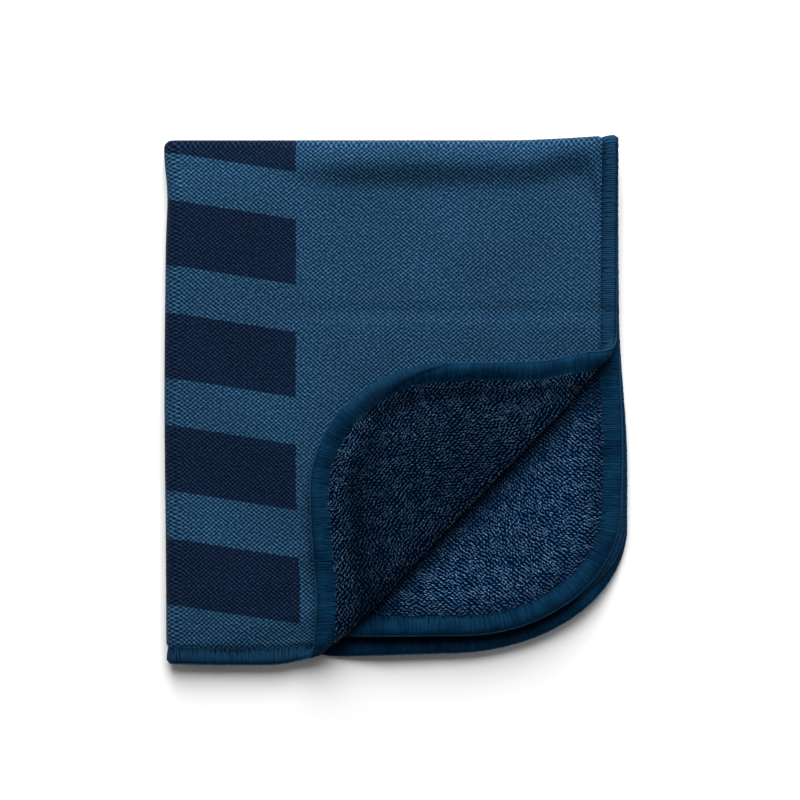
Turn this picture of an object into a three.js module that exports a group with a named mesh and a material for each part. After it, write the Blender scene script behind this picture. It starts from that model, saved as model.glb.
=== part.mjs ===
// A microfibre detailing towel, about 50 by 56 cm, folded in four, its knitted face out.
// One corner of the top layer is turned back and shows the looped pile of the other face.
// Millimetres, +Z up. X runs across the folded towel and Y away from the viewer.
import * as THREE from "three";

// The flat towel. u runs across it from the side fold, v along it from the top fold.
const clothThickness = 4; // knitted ground and loop pile together
const edgeThickness = 1.8; // the cloth pressed flat inside its edging
const edgingWidth = 9; // on the knitted face
const edgingPileWidth = 11.2; // on the pile face
const edgingWall = 0.8; // threads that lie over the cloth on each face
const edgingShoulder = 1.5; // width over which its inner margins slope down
const edgingRounding = 2; // width over which its outer margin narrows
const edgingRim = 0.7; // half the height left at the very edge
const clothEnd = 3; // the cut edge of the cloth lies this far inside the edging's outline
const pieceGap = 0.3;
const taperEnd = 15; // the cloth is pressed down from here out to the edging
const nearSide = { at: 287, topSlope: 0.0155, bottomSlope: 0.032 }; // top and bottom layer
const farSide = { at: 273.5, slope: 0.0081 }; // the two middle layers
const rightSide = { at: 247.3, slope: 0.0054 }; // the two upper layers
const leftSide = { at: 244.4, lean: 0.036 }; // the two lower layers, askew

// Rounded corners, one for each layer counted from the top. u and v are the signs of its
// quarter of the sheet; the rounding takes across off the u side and along off the v side.
const corners = [
  { layer: 1, u: 1, v: -1, across: 70, along: 77 },
  { layer: 2, u: 1, v: 1, across: 88, along: 69 },
  { layer: 3, u: -1, v: 1, across: 91, along: 62 },
  { layer: 4, u: -1, v: -1, across: 99, along: 69 },
];

// The folds
const layerGap = 0.6;
const pitch = clothThickness + layerGap;
const topFoldRadius = pitch / 2; // middle of the cloth, where each pair of layers turns
const sideFoldRadius = pitch; // middle of the pair, where the lower pair turns to the upper
const stackTop = 4 * clothThickness + 3 * layerGap;
const turnAngle = THREE.MathUtils.degToRad(44.2); // square to the turned corner's crease
const turn = {
  reach: 260.6, // outline of the crease from the folded towel's far left corner
  endPull: 2.6, // the stiff edging holds the crease back at its two ends
  radius: 3, // middle of the cloth
  endRadius: 6.5,
  middle: -30, // place along the crease of its middle
  plainHalf: 70,
  endLength: 50,
  sagLength: 55,
  slack: 2, // the turned corner lies a little loose
  slackFrom: 35,
  slackLength: 40,
  hang: 3.5, // its upper edge hangs back
  hangAt: 52,
  hangWidth: 30,
  hangLength: 25,
};

// Soft relief of the lying towel
const puff = { height: 3, from: 85, full: 170, crest: 9, foot: 27 };
const corner = { rise: 2.8, from: 185, width: 62, depth: 24, most: 1.2 };
const sideBow = { out: 1, at: -140, width: 75, depth: 27 };
const lift = { height: 1.3, at: 8, width: 14 }; // the turned corner's edge stands up

// Facets
const openSpacing = 20;
const sideFoldSteps = 8;
const topFoldSteps = 6;
const cornerSteps = 8;
const creaseFrom = 247;
const creaseTo = 271;
const creaseSpacing = 2;
const mergeGrid = 1e4; // points closer than a ten-thousandth of a millimetre are one
const onLine = 0.01; // a corner this near a facet line lies on it

const smooth = (t) => THREE.MathUtils.smoothstep(t, 0, 1);
const bell = (t) => Math.exp(-t * t);
const acrossTurn = [Math.cos(turnAngle), -Math.sin(turnAngle)];
const alongTurn = [Math.sin(turnAngle), Math.cos(turnAngle)];

// Places of the folded sheet's flat stretches: a flat coordinate plus one of these.
const foldLeft = sideFoldRadius + topFoldRadius + clothThickness / 2;
const foldTop = -(topFoldRadius + clothThickness / 2);
const sideFoldHalf = (Math.PI * sideFoldRadius) / 2;
const topFoldHalf = (Math.PI * topFoldRadius) / 2;
const shiftX = foldLeft - sideFoldHalf;
const shiftY = foldTop + topFoldHalf;

// First fold: the sheet turns over a crease across the far end. c is the height over the
// middle of the pair of layers that it makes.
function foldAcross(v, w) {
  const angle = THREE.MathUtils.clamp(v, -topFoldHalf, topFoldHalf) / topFoldRadius;
  const radius = topFoldRadius + w;
  const past = Math.max(Math.abs(v) - topFoldHalf, 0);
  return { y: foldTop + radius * Math.cos(angle) - past, c: -radius * Math.sin(angle) };
}

// Second fold: the pair turns under itself at the left.
function foldSide(u, c) {
  const angle = THREE.MathUtils.clamp(u, -sideFoldHalf, sideFoldHalf) / sideFoldRadius;
  const radius = sideFoldRadius + c;
  const past = Math.max(Math.abs(u) - sideFoldHalf, 0);
  return {
    x: foldLeft - radius * Math.cos(angle) + past,
    z: foldLeft + radius * Math.sin(angle),
  };
}

// Turned corner of the top layer: past the crease the cloth rolls up and lies back.
function turnCorner(p, edge) {
  const s = p.x * acrossTurn[0] + p.y * acrossTurn[1];
  const e = p.x * alongTurn[0] + p.y * alongTurn[1];
  const end = smooth((Math.abs(e - turn.middle) - turn.plainHalf) / turn.endLength);
  const radius = THREE.MathUtils.lerp(turn.radius, turn.endRadius, end);
  const start = turn.reach - turn.endPull * end - radius - clothThickness / 2;
  const past = s - start;
  if (past <= 0) return p;
  const layerMiddle = stackTop - clothThickness / 2;
  const inner = radius - (p.z - layerMiddle);
  const angle = Math.min(past / radius, Math.PI);
  const lain = Math.max(past - Math.PI * radius, 0);
  const sagged = smooth(lain / turn.sagLength);
  const slack = turn.slack * smooth((lain - turn.slackFrom) / turn.slackLength);
  const hang = turn.hang * bell((e - turn.hangAt) / turn.hangWidth);
  const drop = (2 * radius - pitch - layerGap) * sagged;
  const raised = lift.height * bell((edge - lift.at) / lift.width) * sagged;
  const back = slack + hang * smooth(lain / turn.hangLength);
  const turned = start + inner * Math.sin(angle) - lain + back;
  return {
    x: turned * acrossTurn[0] + e * alongTurn[0],
    y: turned * acrossTurn[1] + e * alongTurn[1],
    z: layerMiddle + radius - inner * Math.cos(angle) - drop + raised,
  };
}

// The lying towel is puffed along its top fold, stands out a little at the far right
// corner and bows out at the left. The underside stays flat.
function settle(p) {
  const near = -p.y;
  const puffed = smooth((p.x - puff.from) / (puff.full - puff.from));
  const fall = smooth((near - puff.crest) / (puff.foot - puff.crest));
  const rise = puff.height * puffed * (1 - fall);
  const out = THREE.MathUtils.clamp((p.x - corner.from) / corner.width, 0, corner.most);
  const left = sideBow.out * bell((p.y - sideBow.at) / sideBow.width);
  return new THREE.Vector3(
    p.x - left * bell(p.x / sideBow.depth),
    p.y + corner.rise * out * out * bell(p.y / corner.depth),
    p.z * (1 + rise / stackTop),
  );
}

function foldedPoint(u, v, w) {
  const { y, c } = foldAcross(v, w);
  const { x, z } = foldSide(u, c);
  const top = u > sideFoldHalf && v < -topFoldHalf;
  return settle(top ? turnCorner({ x, y, z }, distanceToEdge(u, v)) : { x, y, z });
}

// Flat place of each side of the towel.
const sideAt = {
  right: (v) => rightSide.at + rightSide.slope * v,
  left: (v) => -leftSide.at - leftSide.lean * Math.abs(v),
  near: (u) => -nearSide.at - (u > 0 ? nearSide.topSlope : nearSide.bottomSlope) * u,
  far: (u) => farSide.at - farSide.slope * u,
};

// Distance from the edge in the turned corner, round its corner as well.
function distanceToEdge(u, v) {
  const round = corners[0];
  const fromRight = sideAt.right(v) - u;
  const fromNear = v - sideAt.near(u);
  const a = Math.max(1 - fromRight / round.across, 0);
  const b = Math.max(1 - fromNear / round.along, 0);
  const inside = 1 - Math.hypot(a, b);
  return inside * Math.min(round.across, round.along);
}

// Stations round the towel's edge: a point and the inward direction at each.
function edgeStations() {
  const list = [];
  for (const { layer, u, v, across, along } of corners) {
    const vertical = u > 0 ? sideAt.right : sideAt.left;
    const level = v > 0 ? sideAt.far : sideAt.near;
    const cornerU = vertical(level(0) - v * along);
    const cornerV = level(vertical(0) - u * across);
    const centre = [cornerU - u * across, cornerV - v * along];
    const clockwise = u * v > 0;
    for (let i = 0; i <= cornerSteps; i++) {
      const turned = (i / cornerSteps) * (Math.PI / 2);
      const angle = clockwise ? turned : Math.PI / 2 - turned;
      const point = [
        centre[0] + u * across * Math.cos(angle),
        centre[1] + v * along * Math.sin(angle),
      ];
      const inward = new THREE.Vector2(
        (-u * Math.cos(angle)) / across,
        (-v * Math.sin(angle)) / along,
      ).normalize();
      list.push({ u: point[0], v: point[1], inU: inward.x, inV: inward.y });
    }
    if (layer === 3) list.push({ u: sideAt.left(0), v: 0, inU: 1, inV: 0 }); // top fold
  }
  list.push({ u: 0, v: sideAt.near(0), inU: 0, inV: 1 }); // side fold
  return list;
}

const inset = (station, q) => [station.u + station.inU * q, station.v + station.inV * q];

const mix = (a, b, t) => ({
  u: a.u + (b.u - a.u) * t,
  v: a.v + (b.v - a.v) * t,
  inU: a.inU + (b.inU - a.inU) * t,
  inV: a.inV + (b.inV - a.inV) * t,
});

// Lines that cut the flat towel into facets, each as a signed distance. They lie close
// where the cloth bends and wide apart elsewhere. Those across v come first: the cells
// that they leave are convex, though the left side is pinched at the top fold.
function facetLines() {
  const lines = [];
  const places = (half, steps, end) => {
    const list = [];
    for (let i = 0; i <= steps; i++) list.push(-half + (2 * half * i) / steps);
    for (let at = half + openSpacing; at < end; at += openSpacing) list.push(at, -at);
    return list;
  };
  for (const at of places(topFoldHalf, topFoldSteps, nearSide.at)) {
    lines.push((u, v) => v - at);
  }
  for (const at of places(sideFoldHalf, sideFoldSteps, nearSide.at)) {
    lines.push((u) => u - at);
  }
  for (let at = creaseFrom; at <= creaseTo; at += creaseSpacing) {
    lines.push((u, v) => (u + shiftX) * acrossTurn[0] + (v + shiftY) * acrossTurn[1] - at);
  }
  return lines;
}

// Whether a side whose two ends are this far from a line crosses it.
const crosses = (da, db) => Math.min(Math.abs(da), Math.abs(db)) > onLine && da * db < 0;

// Adds a station wherever a line crosses the ring that bounds the full-thickness cloth.
function crossStations(stations, lines, q) {
  const full = [];
  stations.forEach((a, i) => {
    const b = stations[(i + 1) % stations.length];
    const cuts = [];
    for (const line of lines) {
      const da = line(...inset(a, q));
      const db = line(...inset(b, q));
      if (crosses(da, db)) cuts.push(da / (da - db));
    }
    full.push(a, ...cuts.sort((s, t) => s - t).map((t) => mix(a, b, t)));
  });
  return full;
}

// Cuts a convex polygon in two along a line that crosses it.
function cutPolygon(polygon, line) {
  const away = polygon.map((p) => line(...p));
  if (Math.min(...away) >= -onLine || Math.max(...away) <= onLine) return [polygon];
  const low = [];
  const high = [];
  polygon.forEach((a, i) => {
    const j = (i + 1) % polygon.length;
    const b = polygon[j];
    if (away[i] <= onLine) low.push(a);
    if (away[i] >= -onLine) high.push(a);
    if (crosses(away[i], away[j])) {
      const t = away[i] / (away[i] - away[j]);
      const cut = [a[0] + (b[0] - a[0]) * t, a[1] + (b[1] - a[1]) * t];
      low.push(cut);
      high.push(cut);
    }
  });
  return [low, high];
}

// Collects triangles whose corners are flat places (u, v, w), and folds them at the end.
class FoldedSolid {
  constructor() {
    this.positions = [];
    this.index = [];
    this.known = new Map();
  }

  point([u, v], w) {
    const key = [u, v, w].map((n) => Math.round(n * mergeGrid)).join();
    if (!this.known.has(key)) {
      this.known.set(key, this.positions.length / 3);
      this.positions.push(...foldedPoint(u, v, w).toArray());
    }
    return this.known.get(key);
  }

  face(...ids) {
    for (let i = 1; i + 1 < ids.length; i++) {
      const triangle = [ids[0], ids[i], ids[i + 1]];
      if (new Set(triangle).size === 3) this.index.push(...triangle);
    }
  }

  distance(a, b) {
    const [p, q] = [a, b].map((id) => new THREE.Vector3().fromArray(this.positions, id * 3));
    return p.distanceTo(q);
  }

  // Skin between two closed rings, each a list of points along the same stations. The
  // longer diagonal is the one that lies on the cloth where it rolls.
  band(outer, inner) {
    outer.forEach((a, i) => {
      const j = (i + 1) % outer.length;
      const quad = [a, outer[j], inner[j], inner[i]];
      const turned = this.distance(quad[1], quad[3]) > this.distance(quad[0], quad[2]);
      this.face(...(turned ? [...quad.slice(1), a] : quad));
    });
  }

  geometry() {
    const made = new THREE.BufferGeometry();
    made.setAttribute("position", new THREE.Float32BufferAttribute(this.positions, 3));
    made.setIndex(this.index);
    made.computeVertexNormals();
    return made;
  }
}

// Rings of the cloth's edge, from the full thickness out to the pressed edge.
const half = clothThickness / 2;
const pressed = edgeThickness / 2;

const lines = facetLines();
const stations = crossStations(edgeStations(), lines, taperEnd);

// The whole cloth as one solid: both faces, the pressed edge and its rim.
function clothGeometry() {
  const solid = new FoldedSolid();
  let cells = [stations.map((s) => inset(s, taperEnd))];
  for (const line of lines) cells = cells.flatMap((cell) => cutPolygon(cell, line));
  for (const cell of cells) {
    solid.face(...cell.map((p) => solid.point(p, half)));
    solid.face(...cell.map((p) => solid.point(p, -half)).reverse());
  }
  const ring = (q, w) => stations.map((s) => solid.point(inset(s, q), w));
  const section = [
    [taperEnd, half],
    [edgingWidth + pieceGap, pressed],
    [clothEnd, pressed],
    [clothEnd, -pressed],
    [edgingPileWidth + pieceGap, -pressed],
    [taperEnd, -half],
  ];
  for (let i = 0; i + 1 < section.length; i++) {
    solid.band(ring(...section[i + 1]), ring(...section[i]));
  }
  return solid.geometry();
}

// The edging as one closed ring: a channel of thread round the pressed edge.
function edgingGeometry() {
  const solid = new FoldedSolid();
  const inner = pressed + pieceGap;
  const slotEnd = clothEnd - pieceGap;
  const section = [
    [edgingWidth, inner],
    [edgingWidth, inner + edgingWall / 2],
    [edgingWidth - edgingShoulder, half],
    [edgingRounding, half],
    [0, edgingRim],
    [0, -edgingRim],
    [edgingRounding, -half],
    [edgingPileWidth - edgingShoulder, -half],
    [edgingPileWidth, -inner - edgingWall / 2],
    [edgingPileWidth, -inner],
    [slotEnd, -inner],
    [slotEnd, inner],
  ];
  const rings = section.map(([q, w]) => stations.map((s) => solid.point(inset(s, q), w)));
  rings.forEach((ring, i) => solid.band(rings[(i + 1) % rings.length], ring));
  return solid.geometry();
}

const clothFinish = new THREE.MeshStandardMaterial({
  color: 0x2a4b66,
  roughness: 0.95,
  metalness: 0,
});
const edgingFinish = new THREE.MeshStandardMaterial({
  color: 0x12324c,
  roughness: 0.8,
  metalness: 0,
});

const cloth = new THREE.Mesh(clothGeometry(), clothFinish);
cloth.name = "towel_cloth";
const edging = new THREE.Mesh(edgingGeometry(), edgingFinish);
edging.name = "towel_edging";

// The origin is under the middle of the folded towel.
const towel = new THREE.Group();
towel.add(cloth, edging);
const box = new THREE.Box3().setFromObject(towel);
towel.position.set(-(box.min.x + box.max.x) / 2, -(box.min.y + box.max.y) / 2, -box.min.z);

export default towel;
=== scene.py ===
import math
from functools import partial

import bmesh
import bpy
import numpy as np
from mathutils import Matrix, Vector


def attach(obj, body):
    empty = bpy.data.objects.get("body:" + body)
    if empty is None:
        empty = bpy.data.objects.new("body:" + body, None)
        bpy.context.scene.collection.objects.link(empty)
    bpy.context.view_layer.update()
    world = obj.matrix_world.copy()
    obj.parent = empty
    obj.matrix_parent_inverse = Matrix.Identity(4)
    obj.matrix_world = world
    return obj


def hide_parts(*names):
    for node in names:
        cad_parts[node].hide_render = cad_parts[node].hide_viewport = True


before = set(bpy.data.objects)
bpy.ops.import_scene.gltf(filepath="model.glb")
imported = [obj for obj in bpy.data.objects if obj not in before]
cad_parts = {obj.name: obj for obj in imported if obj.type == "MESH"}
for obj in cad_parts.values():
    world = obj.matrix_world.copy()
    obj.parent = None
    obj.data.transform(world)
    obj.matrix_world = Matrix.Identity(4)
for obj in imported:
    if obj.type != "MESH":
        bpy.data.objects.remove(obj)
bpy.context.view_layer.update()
scene = bpy.context.scene
mm = 0.001


def linearColour(hexText):
    # sRGB hex to the linear RGBA that a colour socket takes
    parts = [int(hexText[i : i + 2], 16) / 255 for i in (1, 3, 5)]
    return [p / 12.92 if p <= 0.04045 else ((p + 0.055) / 1.055) ** 2.4 for p in parts] + [1.0]


def addNode(tree, kind, inputs=(), **settings):
    # one node: settings are its own; inputs, by name or in order, are values, sockets that
    # feed it, or nodes whose first live output does
    node = tree.nodes.new(kind)
    for name, value in settings.items():
        setattr(node, name, value)
    for key, value in inputs.items() if isinstance(inputs, dict) else enumerate(inputs):
        if isinstance(value, bpy.types.Node):
            value = next(socket for socket in value.outputs if socket.enabled)
        if isinstance(value, bpy.types.NodeSocket):
            tree.links.new(value, node.inputs[key])
        else:
            node.inputs[key].default_value = value
    return node


def smooth(t):
    t = np.clip(t, 0.0, 1.0)
    return t * t * (3 - 2 * t)


def grown(value, start, whole):
    # nothing up to start, one from whole on, and soft between them
    return smooth((value - start) / (whole - start))


def bell(value, middle, width):
    t = (value - middle) / width
    return np.exp(-t * t)


def addObject(name, data):
    made = bpy.data.objects.new(name, data)
    scene.collection.objects.link(made)
    return made


def newMesh(name, points, edges, faces):
    # points in millimetres become a mesh in metres
    mesh = bpy.data.meshes.new(name)
    mesh.from_pydata((np.asarray(points) * mm).tolist(), edges, faces)
    return mesh


def meshObject(name, points, faces, materials, smoothShading=True):
    mesh = newMesh(name, points, [], faces)
    for material in materials:
        mesh.materials.append(material)
    mesh.polygons.foreach_set("use_smooth", [smoothShading] * len(mesh.polygons))
    mesh.update()
    return addObject(name, mesh)


# The sheet's flat places are u across the towel from the side fold, v along it from the top
# fold and w out of its knitted face, all in millimetres.
sheet = {
    "near": 287.0, "nearTopSlope": 0.0155, "nearBottomSlope": 0.032,
    "far": 273.5, "farSlope": 0.0081,
    "right": 247.3, "rightSlope": 0.0054,
    "left": 244.4, "leftLean": 0.036,
    "flatSize": (0.501, 0.565), "flatArea": 0.277,  # metres
    # rounded corners as cut, from the top layer down: signs of u and v, then the two radii
    "corners": ((1, -1, 70, 77), (1, 1, 88, 69), (-1, 1, 91, 62), (-1, -1, 99, 69)),
}
folds = {
    "clothHalf": 2.0, "layerGap": 0.6, "pitch": 4.6, "stackTop": 17.8,
    "topRadius": 2.3, "sideRadius": 4.6, "left": 8.9, "top": -4.3,
    "origin": (-126.463, 143.011, 0.0),
}
# The corner that is turned back over a roll. Here and below, a pair says where a change starts
# and where it is whole, and a pair named Over says the middle of a rise and its half width.
turn = {
    "angle": 44.2, "reach": 260.6, "radius": 3.0, "endRadius": 4.8,
    "middle": -30.0, "endFrom": (70.0, 120.0), "endPull": 2.6, "endGiven": 1.94, "sagLength": 55.0,
    "slack": 2.0, "slackFrom": (35.0, 75.0),
    "hang": 3.5, "hangOver": (52.0, 30.0), "hangLength": 25.0,
    "liftHeight": 6.5, "liftOver": (2.0, 10.5), "liftMore": 0.4, "liftMoreFrom": (0.0, 60.0),
    "openFrom": (-12.0, 0.0),
}
# How the folded towel lies: places are from the side fold and the top fold, seen from above.
lie = {
    # the far right corner is drawn out, and the side bows
    "cornerRise": 2.8, "cornerFrom": 185.0, "cornerWidth": 62.0, "cornerMost": 1.2,
    "cornerOver": (0.0, 24.0), "bowOut": 1.0, "bowOver": ((0.0, 27.0), (-140.0, 75.0)),
    # the puff along the far fold, broader at its right, where the stiff edging holds it
    "puffHeight": 6.5, "puffAcross": (45.0, 108.0), "puffCrest": 11.8, "puffRound": 0.85,
    "puffFoot": 27.0, "puffBroad": 34.0, "puffBroadAcross": (230.0, 243.0),
    "puffShift": 5.0, "puffShiftAcross": (195.0, 225.0),
    "farPress": 4.0, "farPressLength": 31.0,
    # the loose edges of all four layers are thin at the near left, and lie lower there
    "edgePress": 3.4, "edgePressAlong": (-260.0, -290.0), "edgePressAcross": (120.0, 70.0),
    # the crease left by an earlier fold, and the hollow that the turned corner lies in
    "creaseDepth": 1.2, "creaseOver": (-95.0, 3.4), "creaseAcross": (62.0, 92.0),
    "hollowDepth": 3.0, "hollowAt": -127.0, "hollowWidth": 23.0, "hollowAcross": (70.0, 120.0),
    "hollowShift": -34.0, "hollowShiftAcross": (150.0, 80.0),
    # the lowest layer's loose edge curls up at the near right, by its share for each layer
    "curlHeight": 8.5, "curlLength": 40.0, "curlCorner": 82.0, "curlRight": 249.0, "curlNear": 290.0,
    "curlAcross": (78.0, 125.0), "curlAlong": (-130.0, -200.0), "curlSide": 0.12,
    "curlTurn": (-70.0, -10.0), "curlShare": (0.0, 0.3, 0.3, 0.58, 1.0),
    # and the upper layers stand open over it
    "openHeight": 8.0, "openAlong": (140.0, 30.0), "openLess": 0.6, "openLessAcross": (200.0, 250.0),
    "openShare": (0.0, 1.0, 1.0, 0.5, 0.0),
    # the lower layers give way beside the roll
    "rollPress": 1.6, "rollPressOver": (2.0, 8.0), "rollPressAlong": (-100.0, -140.0),
    # waves all over: shortest and longest, height, and how many
    "waves": ((30, 80, 0.075, 9), (9, 22, 0.022, 16)), "wavesSeed": 11,
    # soft folds pressed into the top layer: two ends, half width and height
    "softFolds": (
        ((92, -252), (8, -283), 6.5, 0.9), ((80, -236), (5, -256), 7.5, 0.6),
        ((95, -222), (30, -236), 6.0, 0.45), ((150, -62), (235, -55), 11.0, 0.35),
        ((238, -96), (205, -101), 4.0, 0.5), ((98, -224), (60, -231), 6.0, 0.6),
        ((98, -257), (58, -266), 5.5, 0.6), ((90, -196), (62, -200), 7.0, 0.6),
    ),
    "softFoldEnd": 14.0,
    # pulls in the plane that bring loose edges where they lie: place, reach, how far across and
    # along, and the layers that go with them, counted from the top
    "pulls": (
        (20, -290, 55, 0.0, -1.1, (1, 2, 3, 4)), (77, -287, 11, 0.0, 2.9, (1, 2, 3, 4)),
        (254, -168, 42, 2.0, 0.0, (2, 3, 4)), (120, -285, 70, 0.0, 3.0, (3,)),
        (228, -262, 40, -3.2, 3.2, (3,)), (88, -255, 38, 2.9, 0.0, (1,)),
        (0, -5, 15, -1.3, 0.0, (1, 2, 3, 4)), (0, -33, 16, 0.8, 0.0, (1, 2, 3, 4)),
    ),
}
topHalf = math.pi * folds["topRadius"] / 2
sideHalf = math.pi * folds["sideRadius"] / 2
turnCos = math.cos(math.radians(turn["angle"]))
turnSin = math.sin(math.radians(turn["angle"]))


def sideRight(v):
    return sheet["right"] + sheet["rightSlope"] * v


def sideLeft(v):
    return -sheet["left"] - sheet["leftLean"] * np.abs(v)


def sideNear(u):
    slope = np.where(np.asarray(u) > 0, sheet["nearTopSlope"], sheet["nearBottomSlope"])
    return -sheet["near"] - slope * u


def sideFar(u):
    return sheet["far"] - sheet["farSlope"] * u


corners = []
for signU, signV, across, along in sheet["corners"]:
    vertical = sideRight if signU > 0 else sideLeft
    level = sideFar if signV > 0 else sideNear
    corners.append({
        "signU": signU, "signV": signV, "across": across, "along": along,
        "u": float(vertical(level(0.0) - signV * along)) - signU * across,
        "v": float(level(vertical(0.0) - signU * across)) - signV * along,
    })


def turnPlaces(x, y):
    # distance across the turned corner's crease, and along it
    return x * turnCos - y * turnSin, x * turnSin + y * turnCos


def rollShape(e):
    # how near the roll's end a place along it is, with its radius and its start there
    end = grown(np.abs(e - turn["middle"]), *turn["endFrom"])
    radius = turn["radius"] + (turn["endRadius"] - turn["radius"]) * end
    return end, radius, turn["reach"] - turn["endPull"] * end - radius - folds["clothHalf"]


def turnCorner(x, y, z, edge):
    s, e = turnPlaces(x, y)
    end, radius, start = rollShape(e)
    past = s - start
    layerMiddle = folds["stackTop"] - folds["clothHalf"]
    inner = radius - (z - layerMiddle)
    angle = np.clip(past / radius, 0.0, math.pi)
    lain = np.maximum(past - math.pi * radius, 0.0)
    sagged = smooth(lain / turn["sagLength"])
    slack = turn["slack"] * grown(lain, *turn["slackFrom"])
    hang = turn["hang"] * bell(e, *turn["hangOver"])
    drop = (2 * radius - folds["pitch"] - folds["layerGap"]) * sagged
    raised = turn["liftHeight"] * bell(edge, *turn["liftOver"]) * sagged
    raised = raised * (1 + turn["liftMore"] * grown(e, *turn["liftMoreFrom"]))
    back = slack + (hang + turn["endGiven"] * end) * smooth(lain / turn["hangLength"])
    turned = start + inner * np.sin(angle) - lain + back
    flat = past <= 0
    return (
        np.where(flat, x, turned * turnCos + e * turnSin),
        np.where(flat, y, -turned * turnSin + e * turnCos),
        np.where(flat, z, layerMiddle + radius - inner * np.cos(angle) - drop + raised),
    )


def turnedEdge(u, v):
    # distance from the edge inside the turned corner
    c = corners[0]
    a = np.maximum(1 - (sideRight(v) - u) / c["across"], 0.0)
    b = np.maximum(1 - (v - sideNear(u)) / c["along"], 0.0)
    return (1 - np.hypot(a, b)) * min(c["across"], c["along"])


waves = []
draw = np.random.default_rng(lie["wavesSeed"])
for shortest, longest, height, many in lie["waves"]:
    for _ in range(many):
        heading, phase = draw.uniform(0, 2 * math.pi, 2)
        waves.append((heading, draw.uniform(shortest, longest), phase, height * draw.uniform(0.5, 1.0)))


def unevenness(x, y):
    total = np.zeros_like(x)
    for heading, length, phase, height in waves:
        along = (x * math.cos(heading) + y * math.sin(heading)) / length
        total += height * np.sin(2 * math.pi * along + phase)
    return total


def alongLine(x, y, start, end, width):
    # one on a line between two points, falling softly to nothing beside it and past its ends
    ax, ay = end[0] - start[0], end[1] - start[1]
    length = math.hypot(ax, ay)
    along = ((x - start[0]) * ax + (y - start[1]) * ay) / length
    beside = ((x - start[0]) * ay - (y - start[1]) * ax) / length
    ends = smooth(along / lie["softFoldEnd"]) * smooth((length - along) / lie["softFoldEnd"])
    return bell(beside, 0, width) * ends


def stackRise(x, y):
    # height of the stack's top over its even height, for each place seen from above
    crest = lie["puffCrest"]
    near = -y + lie["puffShift"] * grown(x, *lie["puffShiftAcross"])
    foot = lie["puffFoot"] + lie["puffBroad"] * grown(x, *lie["puffBroadAcross"])
    before = np.clip(crest - near, 0.0, crest)
    crown = np.sqrt(crest ** 2 - before ** 2) - crest
    puff = lie["puffHeight"] * (1 - grown(near, crest, foot)) + lie["puffRound"] * crown
    pressed = -lie["farPress"] * (1 - smooth(near / lie["farPressLength"]))
    share = grown(x, *lie["puffAcross"])
    rise = share * puff + (1 - share) * pressed
    rise = rise - lie["edgePress"] * grown(y, *lie["edgePressAlong"]) * grown(x, *lie["edgePressAcross"])
    mark = lie["creaseDepth"] * bell(y, *lie["creaseOver"])
    rise = rise - mark * grown(x, *lie["creaseAcross"])
    hollowAt = lie["hollowAt"] + lie["hollowShift"] * grown(x, *lie["hollowShiftAcross"])
    hollow = bell(y, hollowAt, lie["hollowWidth"]) * grown(x, *lie["hollowAcross"])
    rise = rise - lie["hollowDepth"] * hollow
    for start, end, width, height in lie["softFolds"]:
        rise = rise + height * alongLine(x, y, start, end, width)
    return rise + unevenness(x, y)


def curlUp(x, y, layer):
    # the loose edges at the near right stand a little clear of the floor and of each other
    fromRight, fromNear = lie["curlRight"] - x, lie["curlNear"] + y
    a = np.maximum(lie["curlCorner"] - fromRight, 0.0)
    b = np.maximum(lie["curlCorner"] - fromNear, 0.0)
    rounded = lie["curlCorner"] - np.hypot(a, b)
    inside = np.where((a > 0) & (b > 0), rounded, np.minimum(fromRight, fromNear))
    nearSide = lie["curlSide"] + (1 - lie["curlSide"]) * grown(fromRight - fromNear, *lie["curlTurn"])
    curl = lie["curlHeight"] * (1 - smooth(inside / lie["curlLength"])) * nearSide
    curl = curl * grown(y, *lie["curlAlong"]) * np.take(lie["curlShare"], layer)
    opened = lie["openHeight"] * grown(fromNear, *lie["openAlong"])
    opened = opened * (1 - lie["openLess"] * grown(x, *lie["openLessAcross"]))
    return (curl + opened * np.take(lie["openShare"], layer)) * grown(x, *lie["curlAcross"])


def settle(x, y, z, layer):
    out = np.clip((x - lie["cornerFrom"]) / lie["cornerWidth"], 0.0, lie["cornerMost"])
    bowAcross, bowAlong = lie["bowOver"]
    pullX = -lie["bowOut"] * bell(y, *bowAlong) * bell(x, *bowAcross)
    pullY = lie["cornerRise"] * out * out * bell(y, *lie["cornerOver"])
    for atX, atY, reach, across, along, layers in lie["pulls"]:
        share = bell(np.hypot(x - atX, y - atY), 0, reach) * np.isin(layer, layers)
        pullX, pullY = pullX + across * share, pullY + along * share
    s, _ = turnPlaces(x, y)
    beside = bell(s - turn["reach"], *lie["rollPressOver"]) * (layer > 1)
    rise = stackRise(x, y) - lie["rollPress"] * beside * grown(y, *lie["rollPressAlong"])
    height = z * (1 + rise / folds["stackTop"]) + curlUp(x, y, layer)
    return np.stack([x + pullX, y + pullY, height], axis=-1)


def foldedPoints(u, v, w):
    # flat places to places in the lying towel, in millimetres
    u, v, w = (np.asarray(a, float) for a in np.broadcast_arrays(u, v, w))
    angle = np.clip(v, -topHalf, topHalf) / folds["topRadius"]
    radius = folds["topRadius"] + w
    y = folds["top"] + radius * np.cos(angle) - np.maximum(np.abs(v) - topHalf, 0.0)
    above = -radius * np.sin(angle)
    angle = np.clip(u, -sideHalf, sideHalf) / folds["sideRadius"]
    radius = folds["sideRadius"] + above
    x = folds["left"] - radius * np.cos(angle) + np.maximum(np.abs(u) - sideHalf, 0.0)
    z = folds["left"] + radius * np.sin(angle)
    onTop = (u > sideHalf) & (v < -topHalf)
    turned = turnCorner(x, y, z, turnedEdge(u, v))
    x, y, z = (np.where(onTop, after, flat) for after, flat in zip(turned, (x, y, z)))
    layer = np.where(u > 0, np.where(v < 0, 1, 2), np.where(v > 0, 3, 4))
    return settle(x, y, z, layer) + np.array(folds["origin"])


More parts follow.
